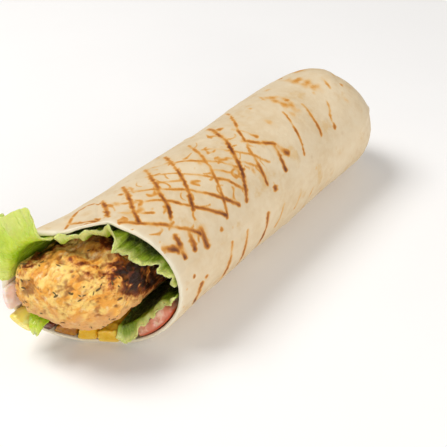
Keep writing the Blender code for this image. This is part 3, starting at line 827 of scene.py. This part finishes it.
# %% Making the flecks
def flecks(count, seed):
    """Flakes of 4 by 3 faces, lens shaped, 0.9 to 2.7 mm long, laid on the fillet and slightly curled."""
    random = np.random.default_rng(seed)
    row = random.integers(60, rows - 8, count)
    column = random.integers(0, columns, count)
    keep = (fillet_done[row, column, 2] > 20 * MM) & (fillet_done[row, column, 0] < 70 * MM)
    row, column = row[keep], column[keep]
    centre, normal = fillet_done[row, column], fillet_normal[row, column]
    turn = random.normal(0.0, 1.1, len(row))
    along = np.stack([np.cos(turn), np.sin(turn), 0 * turn], axis=-1)
    along -= normal * (along * normal).sum(axis=-1, keepdims=True)
    along /= np.linalg.norm(along, axis=-1, keepdims=True)
    side = np.cross(normal, along)
    length = random.uniform(0.45, 1.35, len(row))[:, None, None] * MM
    u, v = np.meshgrid(np.linspace(-1, 1, 5), np.linspace(-1, 1, 4))
    lens = np.sqrt(np.maximum(1.0 - u ** 2, 0.04))
    curl = random.uniform(-0.15, 0.25, len(row))[:, None, None]
    flat_u = u * length
    flat_v = v * lens * length * random.uniform(0.2, 0.45, len(row))[:, None, None]
    lift = curl * length * (u ** 2 + v ** 2 * 0.3)
    points = (centre[:, None, None] + along[:, None, None] * flat_u[..., None]
              + side[:, None, None] * flat_v[..., None] + normal[:, None, None] * lift[..., None])
    return points


def join_grids(name, grids):
    """Many small grids of the same size as one mesh."""
    count, high, wide = grids.shape[:3]
    corner = (np.arange(high - 1)[:, None] * wide + np.arange(wide - 1)).ravel()
    face = np.stack([corner, corner + 1, corner + wide + 1, corner + wide], axis=-1)
    faces = (np.arange(count)[:, None, None] * high * wide + face).reshape(-1, 4)
    mesh = bpy.data.meshes.new(name)
    mesh.from_pydata((grids.reshape(-1, 3) + home).tolist(), [], faces.tolist())
    mesh.shade_smooth()
    return new_object(name, mesh)


herbs = join_grids("herb_flecks", flecks(210, 51))
thick = herbs.modifiers.new("Flake thickness", "SOLIDIFY")
thick.thickness = 0.16 * MM
thick.offset = 0.0
herb_leaf, tree, shader, place = start_material("dried herbs", 0.7)
tint = effect(tree, mottle_tree, place, Scale=90.0, Low=0.35, High=0.65)
shade = mix(tree, tint, (124, 74, 28), (100, 86, 34))
veined = effect(tree, mottle_tree, place, Scale=1800.0, Low=0.4, High=0.6)
shade = mix(tree, veined, shade, (110, 78, 36), 0.4)
tree.links.new(shade, shader.inputs["Base Color"])
herbs.data.materials.append(herb_leaf)
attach(herbs, "root")
print("flecks:", len(herbs.data.polygons) // 12)

# %% [markdown]
# ## Lettuce
#
# A lettuce leaf is a thin sheet whose edge has grown longer than its middle, so the edge has to
# frill. Each leaf here is a sheet of points with its inner end hidden in the roll and its outer
# edge (v = 1) at the mouth. To the slow shape of the leaf come frills that grow towards the edge,
# and ribs that stand slightly proud and are paler than the blade. `Solidify` gives the thickness.
#
# Two masks go with each leaf, both worked out from the distance to its edge: `margin` is the pale
# band along the edge, partly the leaf's paler edge and partly painted light, and `inner` is painted
# shade that darkens the blade further in, inside the roll.

# %% Leaf shapes
LEAF_THICKNESS = 0.55 * MM


def wall_point(x, angle, depth):
    """A point inside the roll, at a depth measured from the bread's inner face."""
    return section(x, angle, WALL + depth)


# Margin of the upper leaf: angle in degrees, mm ahead of the rim, mm under the roof, mm curled up
MARGIN = [
    (62.0, 1.6, 1.0, 2.0), (65.0, 3.0, 1.2, 1.6), (69.0, 3.0, 1.2, 1.4), (72.0, 1.6, 1.0, 1.7),
    (76.0, 1.5, 0.9, 2.1), (79.0, 1.6, 1.4, 3.4), (82.0, 1.5, 1.6, 2.4), (88.0, 1.5, 1.5, 2.6),
    (93.0, 1.7, 2.2, 3.6), (95.5, 2.8, 2.6, 2.6), (99.0, 3.2, 2.8, 0.6), (104.0, 2.6, 4.6, 0.0),
    (109.0, 6.4, 8.4, 0.0), (113.0, 5.0, 8.0, 0.0), (123.0, 5.0, 8.0, 0.0), (130.0, 6.6, 7.2, 0.0),
    (138.0, 7.0, 5.8, 0.0), (144.0, 3.4, 5.0, 0.0), (147.0, 1.8, 3.8, 0.0), (153.0, 3.8, 3.8, 0.0),
    (158.0, 3.2, 2.2, 0.0), (163.0, 0.8, 1.4, 0.0), (168.0, 2.2, 1.4, 0.0), (172.0, 1.0, 1.2, 0.0)]


def between(angle, column):
    """Values of the margin's list at any angle: np.interp, with the way between two rows softened."""
    at, values = np.array(MARGIN)[:, 0], np.array(MARGIN)[:, column]
    place = np.clip(np.interp(angle, at, np.arange(len(at))), 0, len(at) - 1)
    whole = np.floor(place)
    return np.interp(whole + 0.5 * (place - whole) + 0.5 * smooth(place - whole), np.arange(len(at)), values)


def upper_leaf(u, v):
    """Lines the roof and the right wall, and comes out of the mouth as a wavy margin.

    Behind the margin the leaf dips into a shallow trough and then rises to the roof.
    """
    angle = 62.0 + 110.0 * u
    front = rim_x(angle) - (between(angle, 1) + 0.25 * np.sin(11.0 * np.radians(3.7 * angle))) * MM
    x = front + (150.0 * MM - front) * (1.0 - v) ** 1.9
    behind = (x - front) / MM
    roof = 2.7 + (between(angle, 2) - 2.7) * smooth(1.0 - (behind - 3.0) / 26.0)
    roof = roof + between(angle, 3) * smooth(behind / 1.8) * smooth(1.0 - (behind - 4.0) / 22.0)
    trough = 1.3 * turned(angle, 138.0, 12.0) * smooth(behind / 4.0) * smooth(1.0 - (behind - 5.0) / 14.0)
    near = smooth(1.0 - behind / 16.0) * smooth((angle - 66.0) / 12.0)
    ruffle = np.sin(np.radians(27.8 * (angle - 75.0)) + 0.4) * (0.15 + 0.35 * near)
    fold = 3.6 * np.exp(-((angle - 98.5) / 4.8) ** 4) + 2.6 * turned(angle, 67.0, 3.5)
    fold = fold * smooth(1.0 - behind / 1.6)
    frill = 0.22 * smooth(1.0 - behind / 5.0) * np.sin(np.radians(50.0 * angle) + 2.0 * np.sin(9 * u))
    return wall_point(x, angle, (roof + trough + ruffle - fold + frill) * MM)


def left_leaf(u, v):
    """Comes out along the left wall, then bends outwards over the lip into a wide ruffled blade.

    The distance s is measured along the leaf from the rim. After the rim the leaf follows an arc
    until it stands at the full turn, and then runs straight on.
    """
    angle = 10.0 + 49.5 * u
    reach = 5.0 + 13.5 * smooth((angle - 10.0) / 22.0) - 1.5 * smooth((angle - 36.0) / 14.0)
    reach = (reach + (5.0 - reach) * smooth((angle - 53.0) / 6.0)) * MM
    s = -30.0 * MM + (30.0 * MM + reach) * v
    radius, full_turn = 4.5 * MM, math.radians(86.0)
    past = np.maximum(s, 0.0)
    turn = np.minimum(past / radius, full_turn)
    straight = np.maximum(past - radius * full_turn, 0.0)
    forward = radius * np.sin(turn) + straight * math.cos(full_turn)
    outward = radius * (1.0 - np.cos(turn)) + straight * math.sin(full_turn)
    base = wall_point(rim_x(angle) + np.maximum(-s, 0.0), angle, 1.15 * MM)
    a = np.radians(angle)
    direction = np.stack([0 * a, np.cos(a) * 0.75, np.sin(a) + 0.35], axis=-1)
    direction /= np.linalg.norm(direction, axis=-1, keepdims=True)
    points = base + direction * outward[..., None]
    points[..., 0] -= forward
    grown = smooth((s - 2.5 * MM) / (9.0 * MM))
    wave = 2.3 * MM * grown * (np.sin(2 * math.pi * 3.6 * u + 0.9) + 0.35 * np.sin(2 * math.pi * 8.0 * u))
    wave += 0.45 * MM * smooth((s - 4.0 * MM) / (10.0 * MM)) * np.sin(2 * math.pi * 19.0 * u + 3.0 * v)
    normal = direction * np.cos(turn)[..., None]
    normal[..., 0] += np.sin(turn)
    return points + normal * wave[..., None]


def lower_leaf(u, v):
    """Bridges the tomato on the right, and its margin droops in front of it towards the lip."""
    angle = 182.0 + 71.0 * u
    lead = (2.6 + 0.8 * np.sin(2 * math.pi * 3.2 * u) + 2.4 * turned(angle, 244.0, 10.0)) * MM
    rim = rim_x(angle)
    front = rim - lead
    x = front + (110.0 * MM - front) * (1.0 - v) ** 1.8
    under = smooth((angle - 182.0) / 19.0)
    slope = 1.9 * MM * smooth((rim + 10.0 * MM - x) / (11.0 * MM)) * under
    edge = (5.6 - 4.6 * turned(angle, 244.0, 9.0) - 4.4 * turned(angle, 184.0, 11.0)) * MM
    margin = smooth((rim - 1.0 * MM - x) / (lead - 1.0 * MM))
    depth = 1.2 * MM + 8.4 * MM * under - slope
    depth = depth + (edge - depth) * margin
    ruffle = (0.5 * MM * margin * np.sin(2 * math.pi * 6.0 * u + 0.8)
              + 0.12 * MM * margin * np.sin(2 * math.pi * 17.0 * u))
    return wall_point(x, angle, depth + ruffle)


def front_leaf(u, v):
    """A small pointed tip that comes out under the fillet and hangs down in front of the rim."""
    across = (u - 0.5) * 2.0
    half = (5.2 * np.maximum(1.0 - v, 0.0) ** 0.7 + 0.7) * MM
    x = (-3.0 - 13.2 * np.sin(math.pi / 2 * v)) * MM + 0.0 * u
    y = (16.6 - 4.2 * v) * MM + across * half
    z = (18.3 - 3.2 * smooth((v - 0.42) / 0.58)) * MM - 0.8 * MM * across ** 2 * v
    z = z + 2.0 * MM * np.maximum(across, 0.0) ** 2 * (1.0 - v)
    z = z - 0.5 * MM * bell(across, -0.1, 0.18) * (1.0 - v)
    return np.stack([x, y, z], axis=-1)


def ribs(u, v, count, spread, width):
    """Ribs that fan out from the inner end, with side veins: bells round lines u = k/count + slant."""
    total = np.zeros(u.shape)
    for k in range(count):
        middle = (k + 0.5 + 0.25 * math.sin(5.0 * k)) / count
        line = middle + spread * (middle - 0.5) * (v - 0.5) + 0.012 * np.sin(9 * v + 2 * k)
        total = np.maximum(total, bell(u, line, width * (1.35 - v)))
        side = np.abs(u - line) * count * 0.9
        veins = bell(((v - 0.55 * side) * 9.0 + 0.37 * k) % 1.0, 0.5, 0.16)
        total = np.maximum(total, 0.55 * veins * smooth(1.0 - side) * smooth(side * 8))
    return total


# %% Building the leaves
def leaf_material(name, light, blade, deep, edge, inner, roughness):
    """Pale ribs and fine veins on a mottled green blade, lighter at its margin and darker far inside."""
    material, tree, shader, place = start_material(name, roughness, 0.15, (0.5, (0.6, 1.0, 0.25), 0.004))
    patches = effect(tree, mottle_tree, place, Scale=110.0, Low=0.36, High=0.64)
    shade = mix(tree, patches, blade, deep)
    # Darker blade far inside the roll: painted shade.
    shade = mix(tree, attribute(tree, "inner"), shade, inner)
    # Paler margin: partly the leaf's paler edge, partly painted light.
    shade = mix(tree, attribute(tree, "margin"), shade, edge)
    net = add(tree, "ShaderNodeTexVoronoi", {"Vector": place, "Scale": 420.0},
              feature="DISTANCE_TO_EDGE").outputs[0]
    fine = step(tree, net, 0.10, 0.0)
    shade = mix(tree, fine, shade, light, 0.12)
    outside = maths(tree, "SUBTRACT", 1.0, attribute(tree, "inner"))
    rib = maths(tree, "MULTIPLY", attribute(tree, "rib"), outside)
    shade = mix(tree, rib, shade, light, 0.55)
    tree.links.new(shade, shader.inputs["Base Color"])
    bump(tree, shader, maths(tree, "SUBTRACT", fine, patches), 0.3, 0.0003)
    return material


# Fifth colour: painted shade far inside the roll; fourth, the margin, is partly painted light.
light_leaf = leaf_material("light lettuce", (222, 236, 140), (198, 222, 66), (170, 204, 16),
                           (216, 234, 122), (150, 184, 16), 0.42)
green_leaf = leaf_material("green lettuce", (196, 218, 100), (158, 186, 34), (124, 154, 14),
                           (228, 243, 142), (40, 50, 4), 0.42)


def make_leaf(name, surface, across, along, material, node, slot, fan, band):
    """Lays a grid of u, v onto a leaf shape, lifts its ribs, marks a pale margin band mm wide."""
    u, v = np.meshgrid(np.linspace(0, 1, across), np.linspace(0, 1, along))
    v = 1.0 - (1.0 - v) ** 1.25
    points = surface(u, v)
    rib = ribs(u, v, *fan)
    crinkle = 0.16 * MM * ripple(points, 3.2 * MM, 61) + 0.06 * MM * ripple(points, 1.5 * MM, 62)
    points = points + normals_of(points, False) * (0.22 * MM * rib + crinkle)[..., None]
    leaf = build(name, points + home, np.stack([0.05 + 0.9 * u, 0.05 + 0.9 * v], axis=-1))
    set_attribute(leaf, "rib", rib.ravel())
    steps = np.linalg.norm(np.diff(points, axis=0), axis=-1)
    to_edge = np.concatenate([np.cumsum(steps[::-1], axis=0)[::-1], np.zeros((1, across))]) / MM
    # The margin band is partly painted light; the blade further in gets painted shade.
    set_attribute(leaf, "margin", smooth(1.15 - to_edge / band).ravel())
    set_attribute(leaf, "inner", smooth((to_edge - band - 0.5) / 5.0).ravel())
    sheet = leaf.modifiers.new("Leaf thickness", "SOLIDIFY")
    sheet.thickness = LEAF_THICKNESS
    sheet.offset = 0.0
    finish_piece(leaf, material, node)


LEAVES = [
    ("lettuce_roof_leaf", upper_leaf, 380, 120, green_leaf, "lettuce_upper", "green_leaf",
     (9, 0.2, 0.008), 4.5),
    ("lettuce_outer_leaf", left_leaf, 240, 150, light_leaf, "lettuce_left", "light_leaf",
     (6, 0.5, 0.012), 12.0),
    ("lettuce_under_leaf", lower_leaf, 220, 90, green_leaf, "lettuce_lower", "green_leaf",
     (6, 0.2, 0.010), 3.5),
    ("lettuce_tip", front_leaf, 60, 70, light_leaf, "lettuce_front", "light_leaf", (1, 0.0, 0.06), 3.0)]
for row_of_values in LEAVES:
    make_leaf(*row_of_values)

# %% [markdown]
# ## Tomato and pepper
#
# The slices and strips lie against the inside of the bread. Each is a rounded box that is bent
# with the wall: the box's three directions become the distance along the roll, the angle round it
# and the depth below the bread. A box is rounded by dividing a direction on a ball by its own
# seventh-power length, which is a soft way of saying "push it out to the nearest wall".

# %% Rounded pieces that hug the wall
BLOCK_ROWS, BLOCK_COLUMNS = 56, 96
BLOCK_POWER = 7.0


def block_points(angles, depths, lead, back_x):
    """Directions on a ball, over their 7th-power norm, then bent into x, angle and depth."""
    p, q = np.meshgrid(np.linspace(0, math.pi, BLOCK_ROWS),
                       np.linspace(0, 2 * math.pi, BLOCK_COLUMNS, endpoint=False), indexing="ij")
    ball = np.stack([-np.cos(p), np.sin(p) * np.cos(q), np.sin(p) * np.sin(q)], axis=-1)
    norm = (np.abs(ball) ** BLOCK_POWER).sum(axis=-1, keepdims=True) ** (1 / BLOCK_POWER)
    box = ball / norm * 0.5 + 0.5
    angle = angles[0] + (angles[1] - angles[0]) * box[..., 1]
    depth = (depths[0] + (depths[1] - depths[0]) * box[..., 2]) * MM
    front = rim_x(angle) - lead * MM
    return wall_point(front + (back_x * MM - front) * box[..., 0] ** 1.6, angle, depth), box


def make_block(name, angles, depths, lead, back_x, material, node, slot, seed):
    """Builds one slice or strip with soft dents, except towards the wall, and marks where its skin is."""
    points, box = block_points(angles, depths, lead, back_x)
    normal = normals_of(points, True)
    dents = 0.28 * MM * ripple(points, 4.5 * MM, seed) + 0.10 * MM * ripple(points, 1.8 * MM, seed + 1)
    dents *= smooth((box[..., 2] - 0.05) / 0.35)
    dents[[0, -1]] = 0.0
    normal[[0, -1]] = 0.0
    table = round_table(BLOCK_ROWS, BLOCK_COLUMNS)
    piece = build(name, points + normal * dents[..., None] + home, table, around=True, poles=(True, True))
    set_attribute(piece, "skin", smooth((0.30 - box[..., 2]) / 0.22).ravel())
    tidy_mesh(piece)
    finish_piece(piece, material, node)


# %% Flesh and skin
def juicy_material(name, flesh, pale, skin, roughness):
    """Wet flesh with pale streaks along the roll, and a glossier, deeper skin on the wall's side."""
    material, tree, shader, place = start_material(name, roughness, 0.2, (0.2, (1.0, 0.35, 0.15), 0.002))
    drawn = add(tree, "ShaderNodeMapping", {"Vector": place, "Scale": (0.5, 1.0, 1.0)}).outputs[0]
    streaks = effect(tree, mottle_tree, drawn, Scale=260.0, Low=0.42, High=0.66)
    shade = mix(tree, streaks, flesh, pale)
    dots = effect(tree, fleck_tree, place, Scale=500.0, Size=0.4, Share=0.25)
    shade = mix(tree, dots, shade, pale, 0.3)
    shade = mix(tree, attribute(tree, "skin"), shade, skin)
    tree.links.new(shade, shader.inputs["Base Color"])
    bump(tree, shader, streaks, 0.2, 0.0003)
    return material


tomato = juicy_material("tomato flesh", (226, 140, 112), (244, 200, 176), (196, 84, 40), 0.28)
# A lighter copy of the tomato for the slice at the front left: painted light.
painted_light_tomato = juicy_material("tomato in painted light", (254, 222, 206), (255, 240, 232), (250, 200, 176), 0.28)
# A dark copy of the tomato for the piece under the fillet: painted shade.
shaded_tomato = juicy_material("tomato in painted shade", (84, 28, 8), (116, 50, 16), (70, 20, 4), 0.35)
pepper = juicy_material("yellow pepper", (234, 184, 38), (244, 206, 74), (246, 206, 92), 0.25)
# A lighter copy of the pepper for the strip at the front left: painted light.
painted_light_pepper = juicy_material("pepper in painted light", (254, 230, 108), (254, 240, 150), (253, 220, 90), 0.25)
# A dark copy of the pepper for the strip under the fillet: painted shade.
shaded_pepper = juicy_material("pepper in painted shade", (168, 104, 16), (192, 136, 34), (120, 66, 10), 0.3)
FILLING = [
    ("tomato_slice_right", (199.0, 242.0), (0.4, 6.0), 1.2, 62.0, tomato, "tomato_right", "tomato"),
    ("tomato_slice_left", (-17.0, 5.0), (0.4, 2.4), 3.6, 36.0, painted_light_tomato, "tomato_left", "tomato"),
    ("tomato_piece_middle", (-52.5, -44.8), (0.4, 5.6), 0.6, 34.0, shaded_tomato, "tomato_middle", "tomato"),
    ("pepper_strip_left", (-43.2, -20.8), (0.4, 4.6), 5.4, 22.0, painted_light_pepper, "pepper_left", "pepper"),
    ("pepper_strip_shaded", (-71.0, -54.5), (0.4, 5.4), 0.4, 30.0, shaded_pepper, "pepper_shaded", "pepper"),
    ("pepper_strip_middle", (-87.3, -73.2), (0.4, 6.3), 1.4, 26.0, pepper, "pepper_middle", "pepper"),
    ("pepper_strip_right", (-105.0, -89.8), (0.4, 6.0), 2.8, 24.0, pepper, "pepper_right", "pepper")]
for number, row_of_values in enumerate(FILLING):
    make_block(*row_of_values, 70 + 2 * number)

# %% [markdown]
# ## Floor, light and camera
#
# A plain pale floor and soft studio light: one large lamp high on the far side for shape, a weaker
# one from the right for the near side, one from the front that fills the mouth, and a bright even
# sky. The camera stands where the photograph was taken from: 34 degrees above the table, looking
# along the roll from its open end.

# %% Floor and lights
mesh = bpy.data.meshes.new("floor")
mesh.from_pydata([(-3, -3, 0), (3, -3, 0), (3, 3, 0), (-3, 3, 0)], [], [(0, 1, 2, 3)])
floor = new_object("floor", mesh)
paper, tree, shader, place = start_material("pale floor", 0.8)
faint = effect(tree, mottle_tree, place, Scale=6.0, Low=0.3, High=0.7)
tree.links.new(mix(tree, faint, (253, 252, 251), (251, 250, 249)), shader.inputs["Base Color"])
floor.data.materials.append(paper)


def soft_lamp(name, position, target, size, power, tint):
    """A square area lamp that looks at a target."""
    lamp = bpy.data.lights.new(name, "AREA")
    lamp.size = size
    lamp.energy = power
    lamp.color = tint
    thing = new_object(name, lamp)
    aim = Vector(target) - Vector(position)
    thing.location = position
    thing.rotation_euler = aim.to_track_quat("-Z", "Y").to_euler()


soft_lamp("high lamp", (-0.30, 0.60, 1.10), (0, 0, 0), 0.6, 11.2, (1.0, 0.985, 0.965))
soft_lamp("right lamp", (0.45, -1.0, 0.60), (0, 0, 0.02), 0.7, 3.3, (1.0, 0.98, 0.96))
soft_lamp("front lamp", (-0.80, -0.85, 0.50), (-0.10, 0, 0.02), 0.5, 4.9, (1.0, 0.98, 0.96))
world = bpy.data.worlds.new("bright room")
world.use_nodes = True
world.node_tree.nodes["Background"].inputs["Color"].default_value = (1.0, 0.995, 0.99, 1.0)
world.node_tree.nodes["Background"].inputs["Strength"].default_value = 0.31
bpy.context.scene.world = world
bpy.context.scene.view_settings.view_transform = "Standard"

# %% The camera
LENS = 76.95
EYE = [-207.4, -207.0, 256.4]
AZIMUTH, ELEVATION = -55.52, 34.0
camera = bpy.data.cameras.new("camera")
camera.lens = LENS
camera.sensor_width = 36.0
eye = new_object("camera", camera)
eye.location = (np.array(EYE) * MM + home).tolist()
azimuth, elevation = math.radians(AZIMUTH), math.radians(ELEVATION)
eye.rotation_euler = (math.pi / 2 - elevation, 0.0, azimuth)
bpy.context.scene.camera = eye
print("camera at", [round(value, 4) for value in eye.location])
